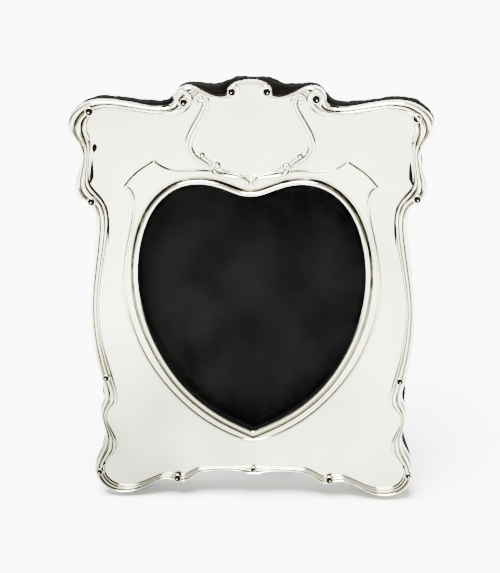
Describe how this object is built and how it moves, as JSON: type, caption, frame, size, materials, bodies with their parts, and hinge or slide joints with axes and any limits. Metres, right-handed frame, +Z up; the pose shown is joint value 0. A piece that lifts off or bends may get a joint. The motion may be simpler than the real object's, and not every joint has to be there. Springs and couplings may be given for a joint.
{
  "type": "photo frame",
  "caption": "Table photo frame: a stamped silver facing with a heart shaped opening on a velvet covered back, glass, and a hinged easel strut held by a silk stay.",
  "frame": {"origin": "on the floor, at the middle of the stand's whole footprint box", "axes": "+X to the right as a viewer in front sees it, +Y to the back, +Z up; the front looks to -Y and leans back 14 degrees"},
  "size_m": [0.1808, 0.087, 0.2114],
  "materials": {
    "silver": "polished old silver, warm white, softly worn",
    "velvet": "aged black velvet",
    "lining": "black velvet paper on the wall of the opening",
    "wood": "plain unpolished softwood",
    "glass": "clear flat glass",
    "card": "dark cloth faced card",
    "brass": "aged brass",
    "ribbon": "black silk ribbon"
  },
  "bodies": {
    "frame": {"silver_facing": "silver", "front_former": "wood", "back_board": "wood", "velvet_cover": "velvet", "aperture_lining": "lining", "glass_pane": "glass", "backing_card": "card", "easel_panel": "wood", "easel_panel_velvet": "velvet", "turn_button_washers": "brass", "turn_button_screws": "brass", "hinge_fixed_leaf": "brass", "hinge_fixed_screws": "brass", "hinge_pin": "brass", "ribbon_panel_tack": "brass", "stay_ribbon": "ribbon"},
    "strut": {"strut_board": "wood", "strut_velvet": "velvet", "hinge_moving_leaf": "brass", "hinge_moving_screws": "brass", "ribbon_strut_tack": "brass"},
    "turn_button_low_left": {"turn_button_low_left": "brass"},
    "turn_button_low_right": {"turn_button_low_right": "brass"},
    "turn_button_high_left": {"turn_button_high_left": "brass"},
    "turn_button_high_right": {"turn_button_high_right": "brass"}
  },
  "joints": [
    {"name": "strut_hinge", "type": "hinge", "parent": "frame", "child": "strut", "pos_m": [0, 0.01006, 0.14134], "axis": [1, 0, 0], "range_deg": [-26, 0], "deforming": ["stay_ribbon"]},
    {"name": "turn_button_low_left_pivot", "type": "hinge", "parent": "frame", "child": "turn_button_low_left", "pos_m": [-0.069, -0.00949, 0.07201], "axis": [0, -0.9703, 0.2419], "continuous": true},
    {"name": "turn_button_low_right_pivot", "type": "hinge", "parent": "frame", "child": "turn_button_low_right", "pos_m": [0.069, -0.00949, 0.07201], "axis": [0, -0.9703, 0.2419], "continuous": true},
    {"name": "turn_button_high_left_pivot", "type": "hinge", "parent": "frame", "child": "turn_button_high_left", "pos_m": [-0.069, 0.00212, 0.11858], "axis": [0, -0.9703, 0.2419], "continuous": true},
    {"name": "turn_button_high_right_pivot", "type": "hinge", "parent": "frame", "child": "turn_button_high_right", "pos_m": [0.069, 0.00212, 0.11858], "axis": [0, -0.9703, 0.2419], "continuous": true}
  ]
}
